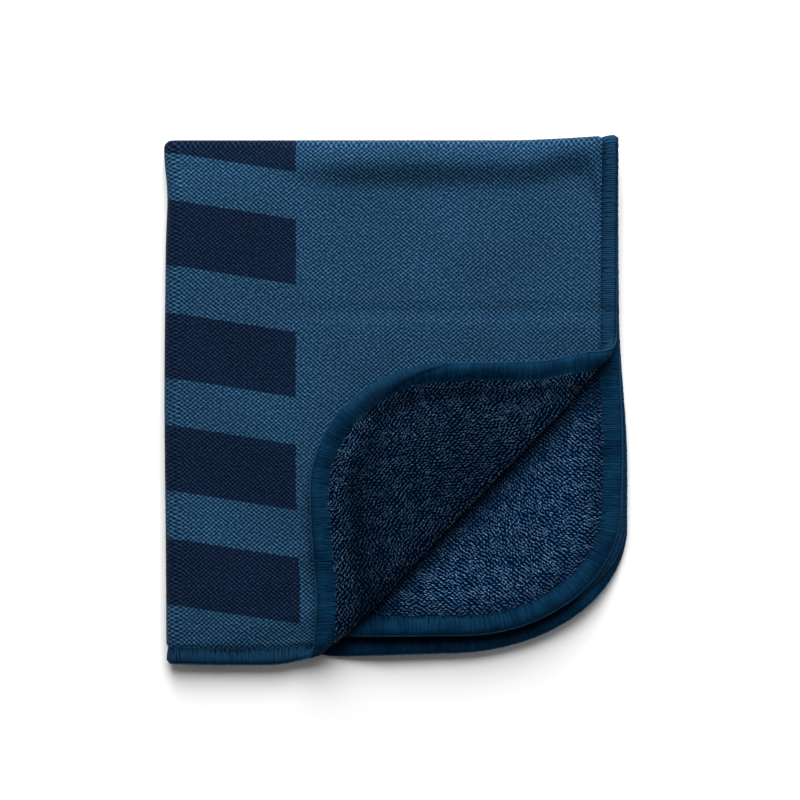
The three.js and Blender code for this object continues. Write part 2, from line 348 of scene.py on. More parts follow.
def overTurn(u, v):
    # how far a flat place is past the roll's start, and past its reach
    s, e = turnPlaces(u + folds["left"] - sideHalf, folds["top"] + topHalf - np.abs(v))
    return s - rollShape(e)[2], s - turn["reach"]


def openToView(u, v):
    # one where the pile side is seen: on the turned corner, and on the second layer beyond it
    return np.where(u > 0, grown(overTurn(u, v)[1], *turn["openFrom"]), 0.0)


def edgeDistance(u, v):
    # distance of a flat place from the towel's edge, round its corners as well
    away = np.minimum(
        np.minimum(sideRight(v) - u, u - sideLeft(v)),
        np.minimum(v - sideNear(u), sideFar(u) - v),
    )
    for c in corners:
        a = (u - c["u"]) * c["signU"] / c["across"]
        b = (v - c["v"]) * c["signV"] / c["along"]
        rho = np.hypot(a, b)
        steep = np.hypot(a / c["across"], b / c["along"])
        away = np.where((a > 0) & (b > 0), (1 - rho) * rho / np.maximum(steep, 1e-9), away)
    return away


def flatPlaces(add):
    # the sheet's own flat places from its UV map, in millimetres
    uv = add("ShaderNodeUVMap", uv_map="flat")
    return add("ShaderNodeVectorMath", (uv, (1000, 1000, 1000)), operation="MULTIPLY")


def clearedTree(holder):
    # empties the node tree of a material or a world, and returns what adds nodes to it
    holder.use_nodes = True
    holder.node_tree.nodes.clear()
    return partial(addNode, holder.node_tree)


def newMaterial(name):
    material = bpy.data.materials.new(name)
    return material, clearedTree(material)


def closeMaterial(add, look, colour, height):
    # bump, shader and output, with the relief in millimetres and the shader's numbers from look
    bump = add(
        "ShaderNodeBump",
        {"Height": height, "Distance": look["relief"] * mm, "Strength": look["reliefStrength"]},
    )
    shader = add("ShaderNodeBsdfPrincipled", {"Base Color": colour, "Normal": bump, **look["surface"]})
    add("ShaderNodeOutputMaterial", {"Surface": shader})


knitLook = {
    "cellAcross": 2.75, "cellAlong": 2.35,  # mm, centred cell: two dots and two holes
    "relief": 0.22, "reliefStrength": 1.0,
    "surface": {"Roughness": 0.5, "IOR": 1.45, "Specular IOR Level": 0.02},
    # colours of hole, thread and dot, and where they lie between the lowest and the highest
    "plain": ("#001b36", "#0a2c45", "#486c87"), "bars": ("#000c1d", "#041226", "#25344d"),
    "colourAt": (0.2, 0.62, 1.0), "lowest": -1.0, "highest": 1.7, "crossing": 2.2,
    # the rows wander: how many times in a centimetre, and how far in mm
    "wanderPerCm": 0.45, "wander": (2.6, 2.2, 0.0),
    # unevenness: how many in a centimetre, detail, roughness, and what it becomes at the low
    # and at the high end of most noise
    "mostNoise": (0.3, 0.7),
    "uneven": {
        "lean": (0.9, 2.0, 0.5, -0.13, 0.13),  # one family of threads stands out more
        "grain": (7.5, 3.0, 0.7, -0.52, 0.52),  # yarn by yarn, finer than a cell
        "dye": (0.18, 2.0, 0.5, 0.9, 1.1),  # the dye takes unevenly over a hand's breadth
    },
    # slanting bars in mm, and how rough their edges are
    "barHalfWidth": 70.0, "barPitch": 62.0, "barHeight": 36.0, "barSlant": 0.16, "barFrom": 6.0,
    "barEdge": 0.9,
}


def knitMaterial():
    # Warp-knitted polyester microfibre, dye-printed: matt, a lattice of pale raised loops and
    # dark holes between crossing threads, paler where the loops catch the light.
    material, add = newMaterial("printedMicrofibreKnit")
    flat = flatPlaces(add)
    noise, span = {}, {}
    fromLow, fromHigh = knitLook["mostNoise"]
    for name, (perCm, detail, rough, low, high) in knitLook["uneven"].items():
        noise[name] = add(
            "ShaderNodeTexNoise",
            {"Vector": flat, "Scale": perCm / 10, "Detail": detail, "Roughness": rough},
        )
        span[name] = add(
            "ShaderNodeMapRange",
            {
                "Value": noise[name], "From Min": fromLow, "From Max": fromHigh,
                "To Min": low, "To Max": high,
            },
        )
    drift = add(
        "ShaderNodeTexNoise", {"Vector": flat, "Scale": knitLook["wanderPerCm"] / 10, "Detail": 2.0}
    )
    centred = add(
        "ShaderNodeVectorMath", (drift.outputs["Color"], (0.5, 0.5, 0.5)), operation="SUBTRACT"
    )
    moved = add("ShaderNodeVectorMath", (centred, knitLook["wander"], flat), operation="MULTIPLY_ADD")
    split = add("ShaderNodeSeparateXYZ", (moved,)).outputs
    phases = [
        add("ShaderNodeMath", (turns, 2 * math.pi / knitLook[cell]), operation="MULTIPLY")
        for turns, cell in zip(split, ("cellAcross", "cellAlong"))
    ]
    # two families of threads cross as a net, and the holes are where neither runs
    strands = []
    for operation in ("ADD", "SUBTRACT"):
        phase = add("ShaderNodeMath", phases, operation=operation)
        wave = add("ShaderNodeMath", (phase,), operation="COSINE")
        strands.append(add("ShaderNodeMath", (wave, span["lean"]), operation=operation))
    lattice = add("ShaderNodeMath", (*strands, knitLook["crossing"]), operation="SMOOTH_MAX")
    height = add("ShaderNodeMath", (lattice, span["grain"]), operation="ADD")
    level = add(
        "ShaderNodeMapRange",
        {"Value": height, "From Min": knitLook["lowest"], "From Max": knitLook["highest"]},
    )
    colours = []
    for tones in (knitLook["plain"], knitLook["bars"]):
        colours.append(add("ShaderNodeValToRGB", {"Fac": level}))
        stops = colours[-1].color_ramp.elements
        stops.new(knitLook["colourAt"][1])
        for stop, place, tone in zip(stops, knitLook["colourAt"], tones):
            stop.position, stop.color = place, linearColour(tone)
    # plain slanting bars printed close to the side fold; 100 pitches more keep the sum positive
    across, along = add("ShaderNodeSeparateXYZ", (flat,)).outputs[:2]
    rough = knitLook["barEdge"]
    edge = add("ShaderNodeMapRange", {"Value": noise["grain"], "To Min": -rough, "To Max": rough})
    start = 100 * knitLook["barPitch"] + knitLook["barFrom"]
    masks = []
    for steps in (
        (
            ("MULTIPLY_ADD", knitLook["barSlant"], along), ("ADD", start), ("ADD", edge),
            ("MODULO", knitLook["barPitch"]), ("LESS_THAN", knitLook["barHeight"]),
        ),
        (("ABSOLUTE",), ("ADD", edge), ("LESS_THAN", knitLook["barHalfWidth"])),
    ):
        masks.append(across)
        for operation, *others in steps:
            masks[-1] = add("ShaderNodeMath", (masks[-1], *others), operation=operation)
    bar = add("ShaderNodeMath", masks, operation="MULTIPLY")
    printed = add("ShaderNodeMix", {"Factor": bar, 6: colours[0], 7: colours[1]}, data_type="RGBA")
    dyed = add("ShaderNodeVectorMath", {0: printed, "Scale": span["dye"]}, operation="SCALE")
    closeMaterial(add, knitLook, dyed, height)
    return material


# ground: the knit under the loops, near black, partly painted shade; root and tip: each loop's colour at
# its foot and at its top, painted shade low down and painted light on top, root also mixed into the
# ground; pale: a painted highlight on the tops of some loops
pileColours = {"ground": "#000a1c", "root": "#031b37", "tip": "#27496a", "pale": "#58718a"}
groundLook = {
    "yarnsPerCm": 9.0, "relief": 0.3, "reliefStrength": 1.0,
    "surface": {"Roughness": 0.9, "Specular IOR Level": 0.0},
    # the first is the ground's tone on the turned corner, painted shade, and the second how far it takes
    # to change
    "onCorner": 0.4, "cornerFrom": 20.0,
}


def pileGroundMaterial():
    # Knitted ground under the loops: the same polyester, dyed navy, seen only in the gaps, and
    # coloured near black, partly painted shade of the gaps.
    material, add = newMaterial("navyPileGround")
    flat = flatPlaces(add)
    grain = add(
        "ShaderNodeTexNoise", {"Vector": flat, "Scale": groundLook["yarnsPerCm"] / 10, "Detail": 3.0}
    )
    ground, root = linearColour(pileColours["ground"]), linearColour(pileColours["root"])
    tone = add("ShaderNodeMix", {"Factor": grain, 6: ground, 7: root}, data_type="RGBA")
    # painted shade: darker on the turned corner, where the nap lies the other way and looks darker in
    # this light
    place = add("ShaderNodeSeparateXYZ", (flat,))
    depth = add(
        "ShaderNodeMapRange",
        {
            "Value": place.outputs[1], "From Min": -groundLook["cornerFrom"],
            "From Max": groundLook["cornerFrom"], "To Min": groundLook["onCorner"],
        },
    )
    paintedShadeTone = add("ShaderNodeVectorMath", {0: tone, "Scale": depth}, operation="SCALE")
    closeMaterial(add, groundLook, paintedShadeTone, grain)
    return material


loopLook = {
    "filamentsPerCm": 60.0, "relief": 0.08, "reliefStrength": 0.8,
    "surface": {"Roughness": 0.5, "IOR": 1.5, "Specular IOR Level": 0.03},
    # how far up a loop the painted light begins, and which loops get the painted highlight and how
    # strong
    "paintedLightFrom": 0.2, "highlightFrom": 0.3, "highlightMost": 0.6,
}


def loopMaterial():
    # Split microfibre yarn in uncut loops. Painted light and shade: each loop runs from a dark
    # foot, painted shade, to a lighter top, painted light, and some tops carry a painted highlight.
    material, add = newMaterial("splitMicrofibreLoops")
    rise, shade, nap = (
        add("ShaderNodeAttribute", attribute_name=name).outputs["Fac"]
        for name in ("loopRise", "loopHighlightPick", "loopToneAndShade")
    )
    root, tip, highlightTone = (linearColour(pileColours[name]) for name in ("root", "tip", "pale"))
    # painted shade and light: from the foot's colour up to the top's
    level = add("ShaderNodeMapRange", {"Value": rise, "From Min": loopLook["paintedLightFrom"]})
    tone = add("ShaderNodeMix", {"Factor": level, 6: root, 7: tip}, data_type="RGBA")
    # painted highlight on the tops of loops picked at random
    pale = add(
        "ShaderNodeMapRange",
        {"Value": shade, "From Min": loopLook["highlightFrom"], "To Max": loopLook["highlightMost"]},
    )
    paintedHighlight = add("ShaderNodeMath", (pale, level), operation="MULTIPLY")
    mixed = add("ShaderNodeMix", {"Factor": paintedHighlight, 6: tone, 7: highlightTone}, data_type="RGBA")
    # times the loop's tone, mostly painted shade
    paintedShadeTone = add("ShaderNodeVectorMath", {0: mixed, "Scale": nap}, operation="SCALE")
    place = add("ShaderNodeTexCoord").outputs["Object"]
    fibres = add(
        "ShaderNodeTexNoise",
        {"Vector": place, "Scale": loopLook["filamentsPerCm"] * 100, "Detail": 2.0},
    )
    closeMaterial(add, loopLook, paintedShadeTone, fibres)
    return material


threadLook = {
    # face: paler thread on the knitted face, also used for the painted highlight along the rim and on
    # the lap's inner thread
    "ground": "#02192b", "dark": "#021c31", "light": "#0a304a", "face": "#1f3f5b",
    # fibres and patches: how many in a centimetre, detail and roughness
    "uneven": ((13.0, 4.0, 0.7), (0.9, 2.0, 0.5)), "relief": 0.1, "reliefStrength": 0.8,
    "surface": {"Roughness": 0.7, "IOR": 1.5, "Specular IOR Level": 0.02},
    "passShare": 0.3, "fibreShare": 0.5, "darkest": 0.6, "lightest": 1.3,
}


def threadMaterial(name, dark, light):
    # Textured polyester overlock thread: soft, slightly silky, each pass a little different.
    material, add = newMaterial(name)
    shade, paler = (
        add("ShaderNodeAttribute", attribute_name=key).outputs["Fac"]
        for key in ("threadToneAndHighlight", "threadPaleAndHighlight")
    )
    place = add("ShaderNodeTexCoord").outputs["Object"]
    fibres, patch = (
        add(
            "ShaderNodeTexNoise",
            {"Vector": place, "Scale": perCm * 100, "Detail": detail, "Roughness": rough},
        )
        for perCm, detail, rough in threadLook["uneven"]
    )
    total = patch
    for value, share in ((shade, threadLook["passShare"]), (fibres, threadLook["fibreShare"])):
        total = add("ShaderNodeMath", (value, share, total), operation="MULTIPLY_ADD")
    level = add(
        "ShaderNodeMapRange",
        {"Value": total, "From Min": threadLook["darkest"], "From Max": threadLook["lightest"]},
    )
    low, high, face = (linearColour(threadLook[key]) for key in (dark, light, "face"))
    tone = add("ShaderNodeMix", {"Factor": level, 6: low, 7: high}, data_type="RGBA")
    # towards the face colour: paler on the knitted face, and a painted highlight on the rim chain and
    # the lap's inner thread
    tone = add("ShaderNodeMix", {"Factor": paler, 6: tone, 7: face}, data_type="RGBA")
    closeMaterial(add, threadLook, tone, fibres)
    return material


knit = knitMaterial()
pileGround = pileGroundMaterial()
loopYarn = loopMaterial()
overlockThread = threadMaterial("overlockThread", "dark", "light")
overlockGround = threadMaterial("overlockGround", "ground", "dark")
print("materials made")

cloth = {
    "edgeInset": 3.0,  # the cut edge, hidden in the edging
    "knitHalf": 2.0, "groundHalf": 0.9, "pressedHalf": 0.9, "taper": (8.9, 11.2),
    "openSpacing": 3.2, "foldSpacing": 0.9, "topFoldSpacing": 0.7, "puffSpacing": 2.0, "puffReach": 38.0,
    "edgeLines": (3, 5, 7, 8.4, 9.0, 9.6, 10.2, 10.8, 11.4, 12.4, 14, 16.5),
    "stretchFrom": 140.0,
    # extra lines where the turned corner rolls, cut in the faces close to each
    "rollFrom": 248.0, "rollTo": 271.5, "rollSpacing": 0.8, "rollReach": 6.0, "rollClear": 20.0,
}


def spread(start, end, spacing):
    return list(np.linspace(start, end, max(int(math.ceil(abs(end - start) / spacing)), 1) + 1))


def clothLines(half, spacing, low, high, fineTo=None):
    # places of grid lines: close at the fold, under the puff and along the edges
    lines = spread(-half, half, spacing)
    for sign, reach in ((-1, low), (1, high)):
        start = half
        if fineTo and sign < 0:
            lines += [sign * a for a in spread(half, fineTo, cloth["puffSpacing"])[1:]]
            start = fineTo
        end = reach - cloth["edgeLines"][-1]
        lines += [sign * a for a in spread(start, end, cloth["openSpacing"])[1:]]
        lines += [sign * (reach - q) for q in cloth["edgeLines"][:-1]]
    return np.array(sorted(lines))


def outlinePlaces(gridU, gridV, inset):
    # a plain rectangular grid takes the towel's slanting sides and its rounded corners
    nearCorner, farCorner, lowerFar, lowerNear = corners
    begin = cloth["stretchFrom"]

    def reaches(value, full):
        return np.clip((value - begin) / (full - inset - begin), 0.0, 1.0)

    nearU = np.clip(gridU, lowerNear["u"], nearCorner["u"])
    farU = np.clip(gridU, lowerFar["u"], farCorner["u"])
    v = gridV + (sideNear(nearU) + sheet["near"]) * reaches(-gridV, sheet["near"])
    v = v + (sideFar(farU) - sheet["far"]) * reaches(gridV, sheet["far"])
    rightV = np.clip(v, nearCorner["v"], farCorner["v"])
    leftV = np.clip(v, lowerNear["v"], lowerFar["v"])
    u = gridU + (sideRight(rightV) - sheet["right"]) * reaches(gridU, sheet["right"])
    u = u + (sideLeft(leftV) + sheet["left"]) * reaches(-gridU, sheet["left"])
    for c in corners:
        across, along = c["across"] - inset, c["along"] - inset
        a = np.clip((u - c["u"]) * c["signU"] / across, 0.0, 1.0)
        b = np.clip((v - c["v"]) * c["signV"] / along, 0.0, 1.0)
        inside = (a > 0) & (b > 0)
        u = np.where(inside, c["u"] + c["signU"] * across * a * np.sqrt(1 - b * b / 2), u)
        v = np.where(inside, c["v"] + c["signV"] * along * b * np.sqrt(1 - a * a / 2), v)
    return u, v


def makeFlatSheet():
    # the flat sheet as one layer of faces
    columns = clothLines(sideHalf, cloth["foldSpacing"], sheet["left"], sheet["right"])
    rows = clothLines(topHalf, cloth["topFoldSpacing"], sheet["near"], sheet["far"], cloth["puffReach"])
    gridU, gridV = np.meshgrid(columns, rows)
    u, v = outlinePlaces(gridU, gridV, cloth["edgeInset"])
    flat = bmesh.new()
    verts = [flat.verts.new((a, b, 0)) for a, b in zip(u.ravel(), v.ravel())]
    wide = len(columns)
    for j in range(len(rows) - 1):
        for i in range(wide - 1):
            k = j * wide + i
            flat.faces.new((verts[k], verts[k + 1], verts[k + wide + 1], verts[k + wide]))
    shift, _ = turnPlaces(folds["left"] - sideHalf, folds["top"] + topHalf)
    clear = cloth["rollClear"]
    place = cloth["rollFrom"]
    while place <= cloth["rollTo"]:
        away = place - shift
        close = []
        for face in flat.faces:
            middle = face.calc_center_median()
            beside = abs(middle.x * turnCos - middle.y * turnSin - away)
            if middle.x > clear and middle.y < -clear and beside < cloth["rollReach"]:
                close.append(face)
        parts = dict.fromkeys(part for face in close for part in (*face.edges, *face.verts))
        bmesh.ops.bisect_plane(
            flat, geom=close + list(parts), plane_co=(away * turnCos, -away * turnSin, 0.0),
            plane_no=(turnCos, -turnSin, 0.0), dist=1e-4,
        )
        place += cloth["rollSpacing"]
    flat.verts.index_update()
    places = np.array([p.co[:2] for p in flat.verts])
    faces = [[p.index for p in f.verts] for f in flat.faces]
    rim = []
    for edge in flat.edges:
        if len(edge.link_faces) == 1:
            loop = edge.link_loops[0]
            rim.append((loop.vert.index, loop.link_loop_next.vert.index))
    flat.free()
    return places, faces, rim


def makeCloth():
    # the flat sheet becomes two faces and a rim between them, and is folded
    places, faces, rim = makeFlatSheet()
    u, v = places[:, 0], places[:, 1]
    full = grown(edgeDistance(u, v), *cloth["taper"])
    pressed = cloth["pressedHalf"]
    sides = ((1, cloth["knitHalf"]), (-1, cloth["groundHalf"]))
    points = np.concatenate([
        foldedPoints(u, v, way * (pressed + (half - pressed) * full)) for way, half in sides
    ])
    count = len(places)
    allFaces = list(faces)
    allFaces += [[k + count for k in reversed(f)] for f in faces]
    allFaces += [[b, a, a + count, b + count] for a, b in rim]
    made = meshObject("microfibreSheet", points, allFaces, [knit, pileGround])
    slots = np.ones(len(allFaces), int)
    slots[: len(faces)] = 0
    made.data.polygons.foreach_set("material_index", slots)
    corner = np.empty(len(made.data.loops), int)
    made.data.loops.foreach_get("vertex_index", corner)
    uv = made.data.uv_layers.new(name="flat")
    uv.data.foreach_set("uv", (np.concatenate([places, places])[corner] * mm).ravel())
    print("cloth:", len(points), "points,", sum(len(f) - 2 for f in allFaces), "triangles")
    return made


towelSheet = makeCloth()

edging = {
    "pitch": 1.12,  # mm from thread to thread
    "cornerSteps": 48, "seed": 5,
    "threadRadius": 0.95, "threadPoints": 12,
    # each strays a little: its ends, its swing, two waves by share and turns, and its height
    "endSpread": 0.75, "swing": 0.2, "wobble": 0.14, "wobbleWaves": ((1.0, 9), (0.5, 21)),
    "heightSpread": 0.04, "heightMost": 0.08,
    "thickEach": (0.93, 1.07), "thickAlong": (0.87, 1.13),
    "faceShare": 0.4, "faceFrom": (-0.4, 0.8),
    "covered": 0.8, "coveredFrom": -0.5,  # height on the pile side where another layer lies on it
    # sections from the knitted face round the edge to the pile face: distance in from the
    # edge, and height out of the knitted face
    "bead": (
        (9.0, 0.95), (9.0, 0.97), (8.0, 1.0), (6.2, 1.1), (4.2, 1.18), (2.2, 1.1), (0.95, 0.8),
        (0.6, 0.4), (0.6, -0.4), (0.95, -0.95), (2.2, -1.38), (4.4, -1.52), (6.6, -1.36), (8.4, -1.0),
        (9.4, -0.96), (10.4, -0.96), (11.2, -0.96), (11.2, -0.92), (2.7, -0.92), (2.7, 0.95),
    ),
    "thread": (
        (9.4, 0.1), (8.0, 0.36), (6.2, 0.64), (4.4, 0.86), (2.8, 0.97), (1.8, 0.84), (1.1, 0.45),
        (0.9, -0.2), (1.2, -0.75), (1.9, -1.3), (3.1, -1.8), (4.8, -2.05), (6.4, -1.85), (7.8, -1.35),
        (8.9, -0.8), (10.3, -0.5),
    ),
    # looper threads that run along the edge: distance in, height, radius, wander, tone and
    # how pale; the outer one, along the rim, gets a light tone and is made pale, a painted highlight
    "chains": ((10.5, -0.95, 0.4, 0.35, 0.3, 0.0), (0.3, 0.0, 0.55, 0.1, 0.8, 0.45)),
    # their tone's spread; how they wander, by share and pace; and how they dip at each stitch
    "chainSpread": 0.15, "wanderWaves": ((0.6, 1.9), (0.4, 0.73)), "wanderPhase": 6,
    "wanderSpread": 0.4, "dip": 0.08, "dipPace": 2.4,
}
threadSizes = {"Thread Sides": 4}
# Where the end of the edging laps over its start on the turned corner: a tongue of the same
# threads on top, its inner side running slantwise. Tip and whole are places seen from above,
# looked for at a distance in and a height of the edging.
lap = {
    "tip": (28.4, 20.1), "whole": (-18.9, -1.4), "seenAt": (2.0, -1.6), "fade": 9, "steps": 9,
    "outer": 0.35, "tipReach": 0.9, "reachMore": 10.0, "height": 1.5, "tipSteep": 4.0, "tipStart": 0.3,
    # height across the tongue, and that of the edging under it by distance in
    "across": ((0, 0.12, 0.35, 0.85, 1), (0.2, 0.75, 1.0, 1.0, 0.55)),
    "under": ((0.3, 1.0, 2.1, 3.4, 5.0, 7.0, 8.6, 11.0), (0.4, 0.9, 1.5, 1.95, 2.15, 1.75, 1.0, 0.7)),
    "thick": (0.95, 1.1), "shade": (0.2, 1.0), "pale": 0.15,
    # the thread that closes its inner side, given a light tone and made pale: a painted highlight
    "sideOut": 0.2, "sideOver": 0.25, "sideRadius": 0.5, "sideHighlightTone": 0.95, "sideHighlight": 0.3,
}


def alongRun(run, wanted, *columns):
    # values of some columns at wanted distances along a run
    return [np.stack([np.interp(wanted, run, part) for part in column.T], axis=1) for column in columns]


def distances(points):
    return np.concatenate([[0.0], np.cumsum(np.linalg.norm(np.diff(points, axis=0), axis=1))])


def sampled(section, count):
    # even points along a section of straight parts
    section = np.array(section, float)
    run = distances(section)
    return alongRun(run, np.linspace(0, run[-1], count), section)[0]


def outlineStations(pitch):
    # even stations round the towel's edge with the inward direction at each
    points, inward = [], []
    for index, c in enumerate(corners):
        for i in range(edging["cornerSteps"] + 1):
            part = i / edging["cornerSteps"] * math.pi / 2
            angle = part if c["signU"] * c["signV"] > 0 else math.pi / 2 - part
            outU, outV = c["signU"] * math.cos(angle), c["signV"] * math.sin(angle)
            points.append((c["u"] + outU * c["across"], c["v"] + outV * c["along"]))
            direction = np.array([-outU / c["across"], -outV / c["along"]])
            inward.append(direction / np.linalg.norm(direction))
        if index == 2:
            points.append((float(sideLeft(0.0)), 0.0))
            inward.append(np.array([1.0, 0.0]))
    points.append((0.0, float(sideNear(0.0))))
    inward.append(np.array([0.0, 1.0]))
    closed, turned = np.array(points + points[:1]), np.array(inward + inward[:1])
    run = distances(closed)
    count = int(round(run[-1] / pitch))
    places, directions = alongRun(run, np.arange(count) * run[-1] / count, closed, turned)
    return places, directions / np.linalg.norm(directions, axis=1)[:, None]


def ringPoints(places, directions, inset, height):
    flat = places + directions * np.reshape(inset, (-1, 1))
    return foldedPoints(flat[:, 0], flat[:, 1], height)


def makeBead(places, directions):
    # a closed tube round the whole edge, through the bead's section
    rings = [ringPoints(places, directions, q, w) for q, w in edging["bead"]]
    count, sections = len(places), len(rings)
    faces = []
    for s in range(sections):
        inner, outer = s * count, ((s + 1) % sections) * count
        for i in range(count):
            j = (i + 1) % count
            faces.append([outer + i, outer + j, inner + j, inner + i])
    return meshObject("edgingBead", np.concatenate(rings), faces, [overlockGround])


def newTree(name, sizes):
    # a Geometry Nodes tree with a named input for each size, with what adds nodes to it
    tree = bpy.data.node_groups.new(name, "GeometryNodeTree")
    face = tree.interface
    face.new_socket("Geometry", in_out="INPUT", socket_type="NodeSocketGeometry")
    keys = {}
    for size, value in sizes.items():
        kind = "NodeSocketFloat" if isinstance(value, float) else "NodeSocketInt"
        keys[size] = face.new_socket(size, in_out="INPUT", socket_type=kind).identifier
    face.new_socket("Geometry", in_out="OUTPUT", socket_type="NodeSocketGeometry")
    add = partial(addNode, tree)
    return (tree, keys), add, add("NodeGroupInput").outputs


def closeTree(add, geometry, material):
    # the end of both trees, which gives plain smooth geometry with its material
    soft = add("GeometryNodeSetShadeSmooth", {"Geometry": geometry})
    whole = add("GeometryNodeRealizeInstances", {"Geometry": soft})
    dressed = add("GeometryNodeSetMaterial", {"Geometry": whole, "Material": material})
    add("NodeGroupOutput", (dressed,))


def guideMesh(name, points, edges, numbers):
    # points and edges for a node tree to work on, with numbers for each point
    mesh = newMesh(name, points, edges, [])
    for key, values in numbers.items():
        layer = mesh.attributes.new(key, "FLOAT", "POINT")
        layer.data.foreach_set("value", np.asarray(values, np.float32))
    return addObject(name, mesh)


def bakeNodes(name, guide, tree, keys, sizes):
    # runs a node tree on a guide mesh and keeps the result as a plain mesh; sizes that aren't
    # whole numbers are in millimetres
    modifier = guide.modifiers.new("nodes", "NODES")
    modifier.node_group = tree
    for size, value in sizes.items():
        modifier[keys[size]] = value * mm if isinstance(value, float) else value
    graph = bpy.context.evaluated_depsgraph_get()
    mesh = bpy.data.meshes.new_from_object(guide.evaluated_get(graph))
    guide.modifiers.remove(modifier)
    bpy.data.objects.remove(guide)
    mesh.name = name
    print(name, sum(len(p.vertices) - 2 for p in mesh.polygons), "triangles")
    return addObject(name, mesh)


def makeThreadTree():
    # Geometry Nodes: each guide line becomes one round thread
    made, add, entry = newTree("overlockThreads", threadSizes)
    lines = add("GeometryNodeMeshToCurve", {"Mesh": entry["Geometry"]})
    ring = add("GeometryNodeCurvePrimitiveCircle", {"Resolution": entry["Thread Sides"], "Radius": 1.0})
    thick = add("GeometryNodeInputNamedAttribute", {"Name": "threadRadius"}, data_type="FLOAT")
    tubes = add(
        "GeometryNodeCurveToMesh",
        {"Curve": lines, "Profile Curve": ring, "Scale": thick, "Fill Caps": True},
    )
    closeTree(add, tubes, overlockThread)
    return made


def threadLines(draw, places, directions, insets, heights):
    # one slightly unruly line across the edging at each station
    count, steps = insets.shape
    part = np.linspace(-0.5, 0.5, steps)
    along = np.stack([directions[:, 1], -directions[:, 0]], axis=1)
    stray = draw.normal(0, edging["swing"], count)[:, None] * part * 2
    phase = draw.uniform(0, 2 * math.pi, (count, 2))
    for k, (share, turns) in enumerate(edging["wobbleWaves"]):
        stray = stray + share * edging["wobble"] * np.sin(turns * part + phase[:, k : k + 1])
    more = np.minimum(draw.normal(0, edging["heightSpread"], (count, 1)), edging["heightMost"])
    raised = heights + np.sign(heights) * more
    flat = places[:, None] + directions[:, None] * insets[..., None] + along[:, None] * stray[..., None]
    return foldedPoints(flat[..., 0], flat[..., 1], raised).reshape(-1, 3)


def chainLine(draw, places, directions, inset, height, wander):
    # a looper thread, which wanders a little as it runs along the edge
    turns = np.arange(len(places))
    drift = 0.0
    for share, pace in edging["wanderWaves"]:
        drift = drift + share * np.sin(turns * pace + draw.uniform(0, edging["wanderPhase"]))
    moved = inset + wander * (drift + draw.normal(0, edging["wanderSpread"], len(places)))
    dipped = height - edging["dip"] * np.sin(turns * edging["dipPace"])
    return ringPoints(places, directions, moved, dipped)


def threadRuns(rows, steps):
    # edges that join points into rows of steps points each
    return [(i * steps + s, i * steps + s + 1) for i in range(rows) for s in range(steps - 1)]


def lapStations(places, directions):
    # stations between the lap's tip and the place where it is as wide as the edging
    seen = ringPoints(places, directions, *lap["seenAt"])
    onCorner = (places[:, 0] > 0) & (places[:, 1] < 0) & (seen[:, 2] > folds["stackTop"])
    tip, whole = (
        int(np.argmin(np.where(onCorner, np.hypot(seen[:, 0] - x, seen[:, 1] - y), np.inf)))
        for x, y in (lap["tip"], lap["whole"])
    )
    step = 1 if whole > tip else -1
    return np.arange(tip, whole + step * (lap["fade"] + 1), step), abs(whole - tip)


def lapThreads(draw, places, directions):
    # the tongue of threads, and the one that closes its inner side
    index, full = lapStations(places, directions)
    places, directions, count, steps = places[index], directions[index], len(index), lap["steps"]
    part = np.clip(np.arange(count) / full, 0, 1)
    fade = np.clip((count - 1 - np.arange(count)) / lap["fade"], 0, 1)
    reach = lap["tipReach"] + lap["reachMore"] * part
    across = np.linspace(0, 1, steps)
    insets = lap["outer"] + (reach[:, None] - lap["outer"]) * across
    over = smooth(fade)[:, None] * smooth(part * lap["tipSteep"] + lap["tipStart"])[:, None]
    raised = lap["height"] * np.interp(across, *lap["across"]) * over
    heights = -np.interp(insets, *lap["under"]) - raised
    tongue = (
        threadLines(draw, places, directions, insets, heights), threadRuns(count, steps),
        np.repeat(edging["threadRadius"] * draw.uniform(*lap["thick"], count), steps),
        np.repeat(draw.uniform(*lap["shade"], count), steps), lap["pale"],
    )
    side = (
        ringPoints(places, directions, reach + lap["sideOut"], heights[:, -1] - lap["sideOver"]),
        threadRuns(1, count), lap["sideRadius"], lap["sideHighlightTone"], lap["sideHighlight"],
    )
    return [tongue, side]


